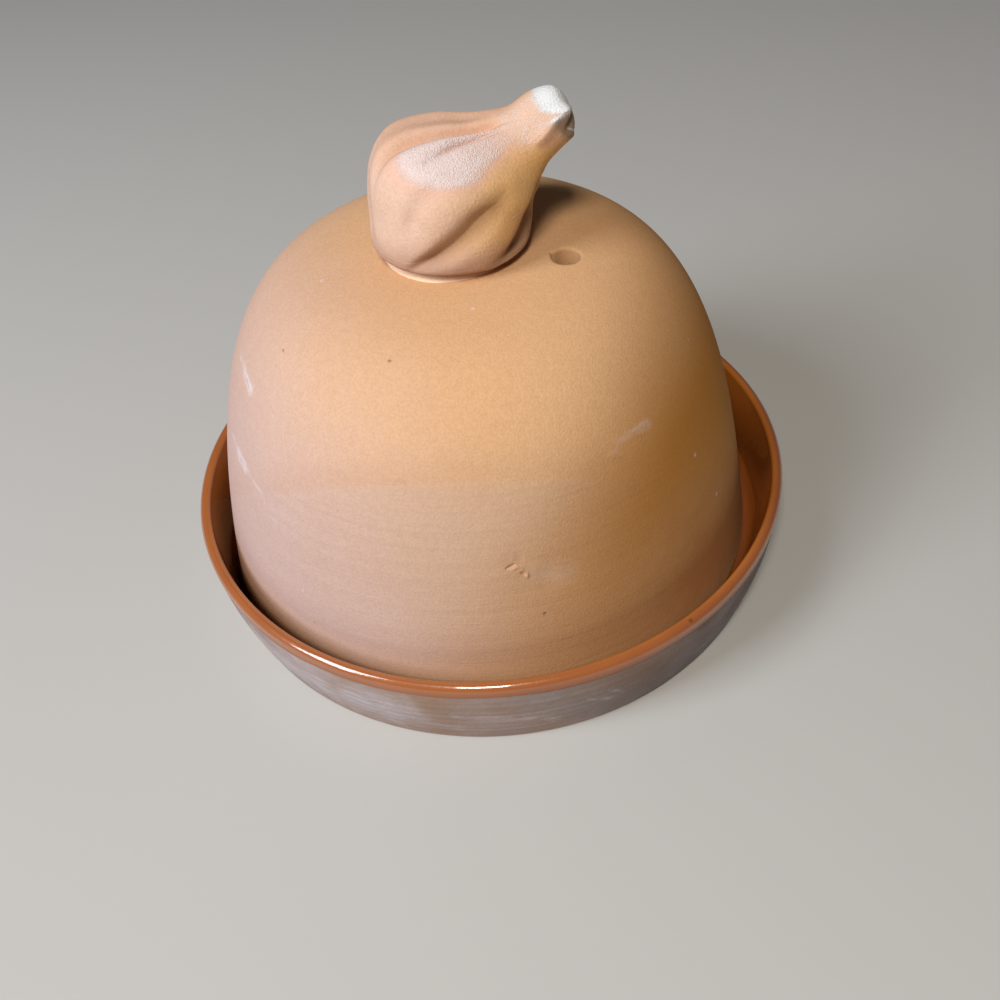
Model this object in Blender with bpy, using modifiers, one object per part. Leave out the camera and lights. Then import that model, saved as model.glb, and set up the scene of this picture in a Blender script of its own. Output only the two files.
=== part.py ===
# Garlic roaster: a glazed saucer and an unglazed domed lid whose knob is a garlic bulb.
# Metres, +Z up. The origin is at the centre of the saucer's underside.
# Run with: blender --background --python part.py

import math

import bmesh
import bpy
from mathutils import Vector

MM = 0.001

# saucer
RIM_RADIUS = 79.0 * MM            # widest point of the rim
SAUCER_HEIGHT = 26.0 * MM
SAUCER_FLARE = 4.1 * MM           # how much wider the rim is than the foot
SAUCER_BELLY = 0.8 * MM           # how far the outer wall bulges between foot and rim
RIM_HALF_WIDTH = 1.4 * MM         # the rim is a full round of this radius
INNER_FLARE = 2.0 * MM            # how much the inner wall opens from cove to rim
FLOOR_HEIGHT = 5.6 * MM           # glazed floor above the table
COVE_RADIUS = 2.6 * MM            # between floor and inner wall
FOOT_EDGE_RADIUS = 1.4 * MM
FOOT_RING_WIDTH = 13.0 * MM       # flat ring that the saucer stands on
FOOT_RECESS = 1.2 * MM            # hollow inside that ring

# glaze coat over the inside, the rim and the top of the outside
GLAZE_THICKNESS = 0.5 * MM
GLAZE_LAP = 1.9 * MM              # how far it runs down below the rim's widest point
GLAZE_WAVE = 0.45 * MM            # rise and fall of its lower edge
SEAT_GAP = 0.3 * MM               # between any two pieces that touch

# lid
LID_PLAY = 1.5 * MM               # lid's flat foot to the edge of the flat floor, all round
LID_REST_ANGLE = math.radians(200)  # the lid stands pushed over this way by its play
LID_HEIGHT = 84.5 * MM            # foot to crown, outside
LID_TAPER = 1.6 * MM              # how much the wall leans in by the crown
LID_FLARE = 1.2 * MM              # how much wider the foot is, over the lowest quarter
LID_WALL = 5.5 * MM
LID_FOOT_ROUND = 1.7 * MM
CROWN_POWER = 5.4                 # a higher power gives a squarer shoulder
WALL_POWER = 1.46
CROWN_START = 88.0                # degrees round the superellipse where the flat crown ends

# vent
VENT_DIAMETER = 7.0 * MM
VENT_MARGIN = 9.1 * MM            # slip joint's edge to the vent's edge
VENT_ANGLE = math.radians(-20.6)  # from +X, seen from above

# knob and the slip that holds it
KNOB_OFFSET = (-2.8 * MM, 0.1 * MM)  # foot centre from the lid's axis
KNOB_FOOT_RADIUS = 15.3 * MM
BULB_RADIUS = 18.9 * MM
NECK_RADIUS = 6.8 * MM
TIP_RADIUS = 5.2 * MM
TIP_NOTCH = 1.3 * MM
NOTCH_HEIGHT = -0.35              # its place across the tip, from -1 at the under side to 1
TIP_ROUND = 0.8 * MM              # how far the upper leaf is rounded back
SLIP_THICKNESS = 0.8 * MM
SLIP_BEAD = 0.1 * MM              # how far the slip is pressed out past the knob's foot
SLIP_SHIFT = (0.5 * MM, -0.7 * MM)  # it is squeezed out more at the front

# facets
TURN_STEPS = 64
WALL_STEPS = 3
KNOB_STEPS = 64
SLIP_STEPS = 52
RINGS_PER_STATION = 3

WALL_LINE = RIM_RADIUS - 2 * RIM_HALF_WIDTH - INNER_FLARE      # foot of the inner wall
FOOT_RADIUS = RIM_RADIUS - SAUCER_FLARE
RIM_CENTRE = (RIM_RADIUS - RIM_HALF_WIDTH, SAUCER_HEIGHT - RIM_HALF_WIDTH)
LID_RADIUS = WALL_LINE - COVE_RADIUS - LID_PLAY + LID_FOOT_ROUND
LID_BASE = FLOOR_HEIGHT + SEAT_GAP
LID_TOP = LID_BASE + LID_HEIGHT
LID_AXIS = (LID_PLAY * math.cos(LID_REST_ANGLE), LID_PLAY * math.sin(LID_REST_ANGLE))
KNOB_AXIS = (LID_AXIS[0] + KNOB_OFFSET[0], LID_AXIS[1] + KNOB_OFFSET[1])
SLIP_BASE = LID_TOP + SEAT_GAP
SLIP_RADIUS = KNOB_FOOT_RADIUS + SLIP_BEAD
KNOB_BASE = SLIP_BASE + SLIP_THICKNESS + SEAT_GAP
VENT_REACH = SLIP_RADIUS + VENT_MARGIN + VENT_DIAMETER / 2

# The knob's sections: centre (x, z), tilt in degrees and half width, in bulb radii.
# They fan from level at the foot to steep at the tip. The first takes the foot's radius,
# and the last three take the neck's and the tip's.
BULB_STATIONS = (
    (0.03, 0.00, 1, None),
    (0.06, 0.10, 4, 0.965),
    (0.10, 0.43, 11, 1.00),
    (0.15, 0.76, 18, 1.00),
    (0.30, 0.98, 24, 0.94),
    (0.58, 1.12, 29, 0.72),
    (0.87, 1.18, 34, 0.50),
    (1.10, 1.25, 40, None),
    (1.31, 1.39, 48, None),
    (1.52, 1.46, 76, None),
)
ROOT_ANGLE = math.radians(320)    # where the cloves meet at the root end, round a section
ROOT_SPREAD = 0.9                 # how far that is from the foot's centre, in half widths
ROOT_FADE = 27.0                  # tilt at which the cloves are centred on the section

# Grooves between the cloves: angle round the bulb where each starts, halfway and where it ends,
# depth, half width of the valley in degrees, and the section tilts between which it runs.
GROOVES = (
    (348, 345, 341, 2.3 * MM, 7, 12, 42),
    (313, 319, 322, 1.9 * MM, 6, 22, 42),
    (286, 288, 290, 0.6 * MM, 9, 10, 26),
    (262, 242, 262, 2.9 * MM, 13, 2.5, 34),
    (198, 193, 210, 2.2 * MM, 9, 3, 31),
    (160, 162, 163, 1.6 * MM, 11, 0, 31),
    (124, 127, 130, 2.1 * MM, 13, 0, 35),
    (86, 89, 92, 1.5 * MM, 9, 4, 42),
    (46, 48, 50, 2.1 * MM, 12, 2, 40),
    (16, 10, 6, 0.9 * MM, 16, 4, 38),
)
GROOVE_EASE = 5.0                 # degrees of tilt over which a groove comes and goes
ROOT_BLUR = 0.5                   # distance from the root end, in half widths, where grooves are full
NECK_RIDGE = (269, 287, 291, -0.9 * MM, 14, 38, 90)


def clear_scene():
    for thing in list(bpy.data.objects):
        bpy.data.objects.remove(thing, do_unlink=True)


def make_collection(name):
    group = bpy.data.collections.new(name)
    bpy.context.scene.collection.children.link(group)
    return group


def make_material(name, colour, roughness):
    material = bpy.data.materials.new(name)
    material.use_nodes = True
    shader = material.node_tree.nodes["Principled BSDF"]
    shader.inputs["Base Color"].default_value = (*colour, 1.0)
    shader.inputs["Roughness"].default_value = roughness
    shader.inputs["Metallic"].default_value = 0.0
    return material


def arc(centre, radius, start, end, steps):
    """Points of a circular arc in the profile plane, angles in degrees."""
    points = []
    for i in range(steps + 1):
        angle = math.radians(start + (end - start) * i / steps)
        points.append((centre[0] + radius * math.cos(angle), centre[1] + radius * math.sin(angle)))
    return points


def add_object(name, mesh, group, material=None):
    thing = bpy.data.objects.new(name, mesh)
    group.objects.link(thing)
    if material:
        mesh.materials.append(material)
    return thing


def turned(name, profile, group, material, steps=TURN_STEPS):
    """A profile of (radius, height) points from the top axis down the outer side, revolved."""
    mesh = bpy.data.meshes.new(name)
    points = [(radius, 0.0, height) for radius, height in profile]
    mesh.from_pydata(points, [(i, i + 1) for i in range(len(points) - 1)], [])
    thing = add_object(name, mesh, group, material)
    screw = thing.modifiers.new("turn", "SCREW")
    screw.axis = "Z"
    screw.angle = math.tau
    screw.steps = steps
    screw.render_steps = steps
    screw.use_merge_vertices = True
    screw.merge_threshold = 0.00002
    screw.use_smooth_shade = True
    return thing


def applied(thing, group):
    """The object with its modifiers made into mesh."""
    graph = bpy.context.evaluated_depsgraph_get()
    mesh = bpy.data.meshes.new_from_object(thing.evaluated_get(graph))
    mesh.name = thing.name
    name, matrix = thing.name, thing.matrix_world.copy()
    bpy.data.objects.remove(thing, do_unlink=True)
    fixed = add_object(name, mesh, group)
    fixed.matrix_world = matrix
    return fixed


def inner_line(inset):
    """Inside of the saucer from the floor's centre to the rim, moved into the clay by inset."""
    cove = (WALL_LINE - COVE_RADIUS, FLOOR_HEIGHT + COVE_RADIUS)
    points = [(0.0, FLOOR_HEIGHT - inset), (cove[0] * 0.5, FLOOR_HEIGHT - inset)]
    points += arc(cove, COVE_RADIUS + inset, -90, 0, 3)
    points += arc(RIM_CENTRE, RIM_HALF_WIDTH - inset, 180, 0, 5)
    return points


def outer_radius_at(height):
    """Radius of the saucer's bare outer wall, which flares from foot to rim with a slight belly."""
    share = height / RIM_CENTRE[1]
    return FOOT_RADIUS + SAUCER_FLARE * share + SAUCER_BELLY * math.sin(math.pi * share)


def saucer_profile():
    inset = GLAZE_THICKNESS + SEAT_GAP
    edge = RIM_CENTRE[1] - GLAZE_LAP - GLAZE_WAVE - SEAT_GAP
    points = inner_line(inset)
    points.append((outer_radius_at(edge) - inset, edge))
    for i in range(WALL_STEPS + 1):
        height = edge + (FOOT_EDGE_RADIUS - edge) * i / WALL_STEPS
        points.append((outer_radius_at(height), height))
    foot = (outer_radius_at(FOOT_EDGE_RADIUS) - FOOT_EDGE_RADIUS, FOOT_EDGE_RADIUS)
    points += arc(foot, FOOT_EDGE_RADIUS, -30, -90, 2)
    inner_foot = foot[0] - FOOT_RING_WIDTH
    points.append((inner_foot, 0.0))
    points.append((inner_foot - FOOT_RECESS, FOOT_RECESS))
    points.append((0.0, FOOT_RECESS))
    return points


def make_saucer(group, material):
    return turned("saucer", saucer_profile(), group, material)


def glaze_wave(angle):
    """Height of the glaze's lower edge about its mean, round the saucer."""
    wave = math.sin(3 * angle + 0.4) + 0.6 * math.sin(7 * angle + 1.9) + 0.4 * math.sin(11 * angle)
    return GLAZE_WAVE * wave / 2.0


def make_glaze(group, material):
    """A thin coat from the floor's centre over the rim, with a wavy edge on the outside."""
    edge = RIM_CENTRE[1] - GLAZE_LAP
    outside = inner_line(0.0) + [(outer_radius_at(edge), edge)]
    inset = GLAZE_THICKNESS
    inside = inner_line(inset) + [(outer_radius_at(edge) - inset, edge)]
    coat = applied(turned("saucer_glaze", outside + inside[::-1], group, material), group)
    for vertex in coat.data.vertices:
        x, y, z = vertex.co
        if z < RIM_CENTRE[1] - GLAZE_LAP / 2 and math.hypot(x, y) > RIM_CENTRE[0]:
            vertex.co.z = z + glaze_wave(math.atan2(y, x))
    return coat


def lid_line(radius, height, steps):
    """Half outline of the lid from its crown to its foot: a superellipse with a flared foot."""
    points = [(0.0, LID_BASE + height)]
    for i in range(steps):
        angle = math.radians(CROWN_START * (1 - i / steps))
        rise = math.sin(angle) ** (2 / WALL_POWER)
        share = math.cos(angle) ** (2 / CROWN_POWER)
        inward = LID_TAPER * rise + LID_FLARE * (1 - (1 - rise) ** 4)
        points.append(((radius - inward) * share, LID_BASE + height * rise))
    return points


def lid_profile():
    outer = lid_line(LID_RADIUS, LID_HEIGHT, 16)
    inner = lid_line(LID_RADIUS - LID_WALL, LID_HEIGHT - LID_WALL, 9)
    rounded = LID_FOOT_ROUND
    foot = arc((LID_RADIUS - rounded, LID_BASE + rounded), rounded, 0, -90, 3)
    foot += arc((LID_RADIUS - LID_WALL + rounded, LID_BASE + rounded), rounded, -90, -180, 3)
    return outer + foot + inner[::-1]


def make_lid(group, cutters, material, axis):
    lid = turned("lid_dome", lid_profile(), group, material)
    lid.parent = axis
    bpy.ops.mesh.primitive_cylinder_add(
        vertices=24, radius=VENT_DIAMETER / 2, depth=6 * LID_WALL,
        location=(KNOB_AXIS[0] + VENT_REACH * math.cos(VENT_ANGLE),
                  KNOB_AXIS[1] + VENT_REACH * math.sin(VENT_ANGLE), LID_TOP))
    cutter = bpy.context.active_object
    cutter.name = "vent_cutter"
    for owner in list(cutter.users_collection):
        owner.objects.unlink(cutter)
    cutters.objects.link(cutter)
    cutter.hide_render = True
    cutter.display_type = "WIRE"
    cut = lid.modifiers.new("vent", "BOOLEAN")
    cut.operation = "DIFFERENCE"
    cut.solver = "EXACT"
    cut.object = cutter
    return lid


def make_slip(group, material, axis):
    """A pad of slip under the knob, pressed out round the knob's foot in a rounded edge."""
    bead = SLIP_THICKNESS / 2
    points = [(0.0, SLIP_BASE + SLIP_THICKNESS)]
    points += arc((SLIP_RADIUS - bead, SLIP_BASE + bead), bead, 90, -90, 6)
    points.append((0.0, SLIP_BASE))
    pad = turned("knob_slip_joint", points, group, material, steps=SLIP_STEPS)
    pad.parent = axis
    pad.location = (KNOB_OFFSET[0] + SLIP_SHIFT[0], KNOB_OFFSET[1] + SLIP_SHIFT[1], 0.0)
    return pad


def smooth_step(low, high, value):
    share = min(max((value - low) / (high - low), 0.0), 1.0)
    return share * share * (3 - 2 * share)


def between(a, b, c, d, share):
    """Catmull-Rom curve through b and c."""
    return 0.5 * (2 * b + (c - a) * share + (2 * a - 5 * b + 4 * c - d) * share**2
                  + (3 * b - a - 3 * c + d) * share**3)


def bulb_stations():
    radii = {0: KNOB_FOOT_RADIUS, len(BULB_STATIONS) - 3: NECK_RADIUS * 1.06,
             len(BULB_STATIONS) - 2: NECK_RADIUS * 0.96, len(BULB_STATIONS) - 1: TIP_RADIUS}
    stations = []
    for i, (x, z, tilt, half) in enumerate(BULB_STATIONS):
        width = radii[i] if half is None else half * BULB_RADIUS
        stations.append((x * BULB_RADIUS, z * BULB_RADIUS, float(tilt), width))
    return stations


def section(stations, place):
    """Centre, tilt and half width at a place along the stations."""
    last = len(stations) - 1
    index = min(int(place), last - 1)
    around = [stations[min(max(index + k, 0), last)] for k in (-1, 0, 1, 2)]
    return [between(*values, place - index) for values in zip(*around)]


def groove_depth(groove, angle, tilt):
    first, middle, last, depth, half, start, end = groove
    share = min(max((tilt - start) / (end - start), 0.0), 1.0)
    centre = (first * (1 - share) * (1 - 2 * share) + 4 * middle * share * (1 - share)
              + last * share * (2 * share - 1))
    away = (angle - centre + 180) % 360 - 180
    runs = smooth_step(start, start + GROOVE_EASE, tilt) * (1 - smooth_step(end - GROOVE_EASE, end, tilt))
    return depth * runs * math.exp(-((away / half) ** 2))


def bulb_point(values, angle):
    """Where the line at this angle round the cloves crosses a section, and the groove's depth there.

    The lines fan out from the root end near the foot's edge and are centred further up.
    """
    centre_x, centre_z, tilt, half = values
    offset = ROOT_SPREAD * max(0.0, 1 - tilt / ROOT_FADE)
    swing = angle - ROOT_ANGLE
    reach = math.sqrt(1 - (offset * math.sin(swing)) ** 2) - offset * math.cos(swing)
    across = half * (offset * math.cos(ROOT_ANGLE) + reach * math.cos(angle))
    side = half * (offset * math.sin(ROOT_ANGLE) + reach * math.sin(angle))
    lean = math.radians(tilt)
    point = Vector((centre_x - across * math.cos(lean), side, centre_z + across * math.sin(lean)))
    cut = sum(groove_depth(groove, math.degrees(angle), tilt) for groove in GROOVES + (NECK_RIDGE,))
    return point, cut * smooth_step(0.0, ROOT_BLUR, reach)


def carved(rows):
    """The bulb's points, each moved in along the surface's normal by its groove's depth."""
    last = len(rows) - 1
    result = []
    for i, row in enumerate(rows):
        ring = []
        for k, (point, cut) in enumerate(row):
            around = row[(k + 1) % len(row)][0] - row[k - 1][0]
            up = rows[min(i + 1, last)][k][0] - rows[max(i - 1, 0)][k][0]
            ring.append(point + around.cross(up).normalized() * cut)
        result.append(ring)
    return result


def make_knob(group, material, axis):
    """A garlic bulb lofted through fanned sections, its cloves parted by grooves."""
    stations = bulb_stations()
    count = (len(stations) - 1) * RINGS_PER_STATION
    rows = []
    for i in range(count + 1):
        values = section(stations, i / RINGS_PER_STATION)
        rows.append([bulb_point(values, math.tau * k / KNOB_STEPS) for k in range(KNOB_STEPS)])
    form = bmesh.new()
    rings = [[form.verts.new(point) for point in ring] for ring in carved(rows)]
    notch_tip(rings)
    for lower, upper in zip(rings, rings[1:]):
        for k in range(KNOB_STEPS):
            n = (k + 1) % KNOB_STEPS
            form.faces.new((lower[k], lower[n], upper[n], upper[k]))
    form.faces.new(rings[0])
    close_tip(form, rings[-1])
    bmesh.ops.recalc_face_normals(form, faces=form.faces)
    mesh = bpy.data.meshes.new("garlic_knob")
    form.to_mesh(mesh)
    form.free()
    mesh.shade_smooth()
    knob = add_object("garlic_knob", mesh, group, material)
    knob.parent = axis
    knob.location = (KNOB_OFFSET[0], KNOB_OFFSET[1], KNOB_BASE)
    return knob


def tip_direction(stations):
    lean = math.radians(stations[-1][2])
    return math.sin(lean), math.cos(lean)


def notch_tip(rings):
    """Cuts a notch across the tip, below its middle, and rounds the upper leaf back."""
    push_x, push_z = tip_direction(bulb_stations())
    for back, ring in enumerate(reversed(rings[-3:])):
        for k, vertex in enumerate(ring):
            high = math.cos(math.tau * k / KNOB_STEPS)
            notch = TIP_NOTCH * math.exp(-(((high - NOTCH_HEIGHT) / 0.3) ** 2))
            rounded = TIP_ROUND * smooth_step(0.4, 1.0, high)
            vertex.co.x -= push_x * (notch + rounded) * (1 - back / 3)
            vertex.co.z -= push_z * (notch + rounded) * (1 - back / 3)


def close_tip(form, ring):
    """Closes the end over a rounded lip with a shallow hollow inside it."""
    middle = sum((vertex.co for vertex in ring), ring[0].co * 0) / len(ring)
    push_x, push_z = tip_direction(bulb_stations())
    outer = ring
    for inward, push in ((0.14, 0.35 * MM), (0.5, -0.5 * MM)):
        inner = []
        for vertex in ring:
            place = vertex.co.lerp(middle, inward)
            inner.append(form.verts.new((place.x + push_x * push, place.y, place.z + push_z * push)))
        for k in range(len(ring)):
            n = (k + 1) % len(ring)
            form.faces.new((outer[k], outer[n], inner[n], inner[k]))
        outer = inner
    centre = form.verts.new((middle.x - push_x * 0.9 * MM, middle.y, middle.z - push_z * 0.9 * MM))
    for k in range(len(ring)):
        form.faces.new((outer[k], outer[(k + 1) % len(ring)], centre))


def make_lid_axis(group):
    """Empty on the line along which the lid lifts off."""
    axis = bpy.data.objects.new("lid_lift_axis", None)
    group.objects.link(axis)
    axis.location = (LID_AXIS[0], LID_AXIS[1], 0.0)
    bpy.context.view_layer.update()
    return axis


def main():
    clear_scene()
    parts = make_collection("garlic_roaster")
    cutters = make_collection("cutters")
    terracotta = make_material("terracotta", (0.62, 0.33, 0.17), 0.9)
    saucer_clay = make_material("saucer_clay", (0.50, 0.29, 0.20), 0.85)
    glaze = make_material("amber_glaze", (0.42, 0.13, 0.03), 0.12)
    knob_clay = make_material("knob_clay", (0.66, 0.38, 0.22), 0.9)
    slip = make_material("pale_slip", (0.78, 0.50, 0.34), 0.9)
    make_saucer(parts, saucer_clay)
    make_glaze(parts, glaze)
    axis = make_lid_axis(parts)
    make_lid(parts, cutters, terracotta, axis)
    make_slip(parts, slip, axis)
    make_knob(parts, knob_clay, axis)
    bpy.context.view_layer.update()


main()
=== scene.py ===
import math

import bmesh
import bpy
import numpy as np
from mathutils import Matrix, Vector, noise


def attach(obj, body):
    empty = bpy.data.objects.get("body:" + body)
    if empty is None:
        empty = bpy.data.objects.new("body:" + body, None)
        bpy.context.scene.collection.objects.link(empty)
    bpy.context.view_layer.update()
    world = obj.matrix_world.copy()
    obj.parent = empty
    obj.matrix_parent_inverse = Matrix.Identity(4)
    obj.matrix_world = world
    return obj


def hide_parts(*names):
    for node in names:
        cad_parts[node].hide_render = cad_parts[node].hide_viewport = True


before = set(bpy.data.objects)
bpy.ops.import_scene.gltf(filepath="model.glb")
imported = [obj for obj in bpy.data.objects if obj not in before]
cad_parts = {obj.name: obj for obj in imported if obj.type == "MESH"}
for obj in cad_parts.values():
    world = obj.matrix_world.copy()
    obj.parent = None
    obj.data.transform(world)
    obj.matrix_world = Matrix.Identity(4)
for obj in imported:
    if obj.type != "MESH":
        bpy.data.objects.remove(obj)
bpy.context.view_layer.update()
mm = 0.001
print("frame loaded:", ", ".join(sorted(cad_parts)))

# the photograph's view: the camera looks down on the roaster from in front
cameraPlace = {
    "distance": 293.88 * mm,  # from the middle of the saucer's foot
    "elevation": 45.7,  # degrees, as the rest
    "roll": 6.08,
    "pan": 0.41,
    "tilt": -0.77,
    "lens": 36.0,
    "sensor": 36.0,
}


def addObject(name, data):
    made = bpy.data.objects.new(name, data)
    bpy.context.collection.objects.link(made)
    return made


def placeCamera(place):
    lift = math.radians(place["elevation"])
    back = Vector((0.0, -math.cos(lift), math.sin(lift)))
    right = Vector((1.0, 0.0, 0.0))
    aim = Matrix((right, back.cross(right), back))
    turn = (Matrix.Rotation(math.radians(place["roll"]), 3, "Z")
            @ Matrix.Rotation(math.radians(place["tilt"]), 3, "X")
            @ Matrix.Rotation(math.radians(place["pan"]), 3, "Y"))
    camera = addObject("camera", bpy.data.cameras.new("camera"))
    camera.data.lens = place["lens"]
    camera.data.sensor_width = place["sensor"]
    camera.data.clip_start = 10 * mm
    camera.matrix_world = (turn @ aim).transposed().to_4x4()
    camera.location = back * place["distance"]
    bpy.context.scene.camera = camera


placeCamera(cameraPlace)
print("camera placed")


# small helpers for node trees

def feed(tree, socket, value):
    if isinstance(value, bpy.types.NodeSocket):
        tree.links.new(value, socket)
    else:
        socket.default_value = value


def addNode(tree, kind, inputs=None, **settings):
    made = tree.nodes.new(kind if kind.startswith("Geometry") else "ShaderNode" + kind)
    for name, value in settings.items():
        setattr(made, name, value)
    for name, value in (inputs or {}).items():
        feed(tree, made.inputs[name], value)
    return made


def calc(tree, operation, *values):
    return addNode(tree, "Math", dict(enumerate(values)), operation=operation).outputs[0]


def times(tree, value, *others):
    for other in others:
        value = calc(tree, "MULTIPLY", value, other)
    return value


def plus(tree, value, other, share=None):
    # adds the whole of the other value, or a share of it
    return calc(tree, "ADD", value, other if share is None else times(tree, other, share))


def vector(tree, operation, *values):
    made = addNode(tree, "VectorMath", dict(enumerate(values)), operation=operation)
    return made.outputs["Value" if operation in ("DOT_PRODUCT", "LENGTH") else "Vector"]


def scaled(tree, way, size):
    return addNode(tree, "VectorMath", {0: way, "Scale": size}, operation="SCALE").outputs[0]


def axis(tree, place, name):
    return addNode(tree, "SeparateXYZ", {0: place}).outputs[name]


def ramp(tree, value, low, high, toLow=0.0, toHigh=1.0):
    # eased from one value to another between two limits
    inputs = {"Value": value, "From Min": low, "From Max": high, "To Min": toLow, "To Max": toHigh}
    return addNode(tree, "MapRange", inputs, interpolation_type="SMOOTHSTEP").outputs[0]


def partly(tree, share, value):
    # from 1 to the value, by the share
    return addNode(tree, "Mix", {0: share, 2: 1.0, 3: value}, data_type="FLOAT").outputs[0]


def noiseAt(tree, place, scale, detail, seed, roughness=0.5):
    inputs = {"Vector": place, "W": seed, "Scale": scale, "Detail": detail, "Roughness": roughness}
    return addNode(tree, "TexNoise", inputs, noise_dimensions="4D").outputs[0]


def driftAt(tree, place, scale, detail, seed):
    # noise that swings about nought
    return calc(tree, "SUBTRACT", noiseAt(tree, place, scale, detail, seed), 0.5)


def openGroup(name, inputs, outputs, kind="Shader"):
    # a node group with named sockets; an input is a plain value or the kind of its socket
    tree = bpy.data.node_groups.new(name, kind + "NodeTree")
    outputKind = "NodeSocketGeometry" if kind == "Geometry" else "NodeSocketFloat"
    for label, given in inputs.items():
        socketKind = given if isinstance(given, str) else type(given).__name__.capitalize()
        socket = tree.interface.new_socket(label, in_out="INPUT", socket_type="NodeSocket" + socketKind)
        if socketKind != given:
            socket.default_value = given
    for label in outputs:
        tree.interface.new_socket(label, in_out="OUTPUT", socket_type=outputKind)
    return tree, tree.nodes.new("NodeGroupInput").outputs, tree.nodes.new("NodeGroupOutput").inputs


def useGroup(tree, group, place, **inputs):
    made = addNode(tree, "Group", node_tree=group)
    for name, value in {"Place": place, **inputs}.items():
        feed(tree, made.inputs[name], value)
    return made.outputs


# shader node groups that the clays and the glaze share

def makeGrain():
    # fine sandy grain of an open clay body
    tree, given, result = openGroup(
        "clayGrain", {"Place": "Vector", "Scale": 900.0, "Seed": 0.0}, ("Speckle", "Height"))
    fine = noiseAt(tree, given["Place"], given["Scale"], 3.0, given["Seed"], 0.6)
    coarse = noiseAt(tree, given["Place"], times(tree, given["Scale"], 0.32), 2.0, given["Seed"])
    both = plus(tree, times(tree, fine, 0.75), coarse, 0.25)
    feed(tree, result["Speckle"], ramp(tree, both, 0.36, 0.64))
    feed(tree, result["Height"], both)
    return tree


def makeTurning():
    # level lines that a sponge and a rib leave on a turning pot
    tree, given, result = openGroup(
        "turningLines", {"Place": "Vector", "Across": 14.0, "Along": 900.0, "Seed": 0.0}, ("Line", "Height"))
    stretch = {"X": given["Across"], "Y": given["Across"], "Z": given["Along"]}
    stretch = addNode(tree, "CombineXYZ", stretch).outputs[0]
    lines = noiseAt(tree, vector(tree, "MULTIPLY", given["Place"], stretch), 1.0, 3.0, given["Seed"], 0.55)
    feed(tree, result["Line"], ramp(tree, lines, 0.40, 0.62))
    feed(tree, result["Height"], lines)
    return tree


def makeBlotches():
    # soft uneven patches left by the fire or by handling
    tree, given, result = openGroup(
        "firedPatches", {"Place": "Vector", "Scale": 20.0, "Edge": 0.12, "Seed": 0.0}, ("Mask",))
    cloud = noiseAt(tree, given["Place"], given["Scale"], 4.0, given["Seed"])
    low, high = calc(tree, "SUBTRACT", 0.5, given["Edge"]), plus(tree, 0.5, given["Edge"])
    feed(tree, result["Mask"], ramp(tree, cloud, low, high))
    return tree


def makeScuff():
    # one rubbed mark along a line between two places: streaky, and stronger towards its end
    tree, given, result = openGroup(
        "scuffMark", {"Place": "Vector", "From": "Vector", "To": "Vector", "Width": 0.002, "Breakup": 0.5,
                      "Fade": 0.5, "Scale": 1400.0}, ("Mask",))
    away = vector(tree, "SUBTRACT", given["Place"], given["From"])
    run = vector(tree, "SUBTRACT", given["To"], given["From"])
    lengths = {0: vector(tree, "DOT_PRODUCT", away, run), 1: vector(tree, "DOT_PRODUCT", run, run)}
    share = addNode(tree, "Math", lengths, operation="DIVIDE", use_clamp=True).outputs[0]
    fade = partly(tree, given["Fade"], share)
    distance = vector(tree, "LENGTH", vector(tree, "SUBTRACT", away, scaled(tree, run, share)))
    distance = plus(tree, distance, driftAt(tree, given["Place"], 180.0, 1.0, 9.0), given["Width"])
    soft = ramp(tree, distance, 0.0, times(tree, given["Width"], fade), 1.0, 0.0)
    streaks = vector(tree, "SUBTRACT", away, scaled(tree, run, times(tree, share, 0.88)))
    broken = ramp(tree, noiseAt(tree, streaks, given["Scale"], 3.0, 2.0, 0.6), 0.38, 0.62)
    feed(tree, result["Mask"], times(tree, soft, partly(tree, given["Breakup"], broken), fade))
    return tree


def makeSpecks():
    # sparse small spots: dark pits or pale bits of grog
    tree, given, result = openGroup(
        "sparseSpecks", {"Place": "Vector", "Scale": 120.0, "Size": 0.12, "Share": 0.1}, ("Mask",))
    cells = addNode(tree, "TexVoronoi", {"Vector": given["Place"], "Scale": given["Scale"]}).outputs
    spot = ramp(tree, cells["Distance"], times(tree, given["Size"], 0.45), given["Size"], 1.0, 0.0)
    chance = addNode(tree, "SeparateColor", {0: cells["Color"]}).outputs[0]
    feed(tree, result["Mask"], times(tree, spot, calc(tree, "LESS_THAN", chance, given["Share"])))
    return tree


clayGrain = makeGrain()
turningLines = makeTurning()
firedPatches = makeBlotches()
scuffMark = makeScuff()
sparseSpecks = makeSpecks()


def patches(tree, place, scale, edge, seed):
    return useGroup(tree, firedPatches, place, Scale=scale, Edge=edge, Seed=seed)["Mask"]


def specks(tree, place, scale, size, share):
    return useGroup(tree, sparseSpecks, place, Scale=scale, Size=size, Share=share)["Mask"]


def scuffs(tree, place, marks):
    # the strongest of several scuff marks: from, to, width, strength, breakup, fade
    total = None
    for start, end, width, strength, breakup, fade in marks:
        start, end = (tuple(value * mm for value in point) for point in (start, end))
        mark = useGroup(tree, scuffMark, place, From=start, To=end, Width=width * mm,
                        Breakup=breakup, Fade=fade)["Mask"]
        mark = times(tree, mark, strength)
        total = mark if total is None else calc(tree, "MAXIMUM", total, mark)
    return total


def openMaterial(name, colour, roughness, specular=0.3):
    material = bpy.data.materials.new(name)
    material.use_nodes = True
    tree = material.node_tree
    shader = tree.nodes["Principled BSDF"].inputs
    shader["Base Color"].default_value = (*colour, 1.0)
    shader["Roughness"].default_value = roughness
    shader["Specular IOR Level"].default_value = specular
    return material, tree, shader, tree.nodes.new("ShaderNodeTexCoord").outputs["Object"]


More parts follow.
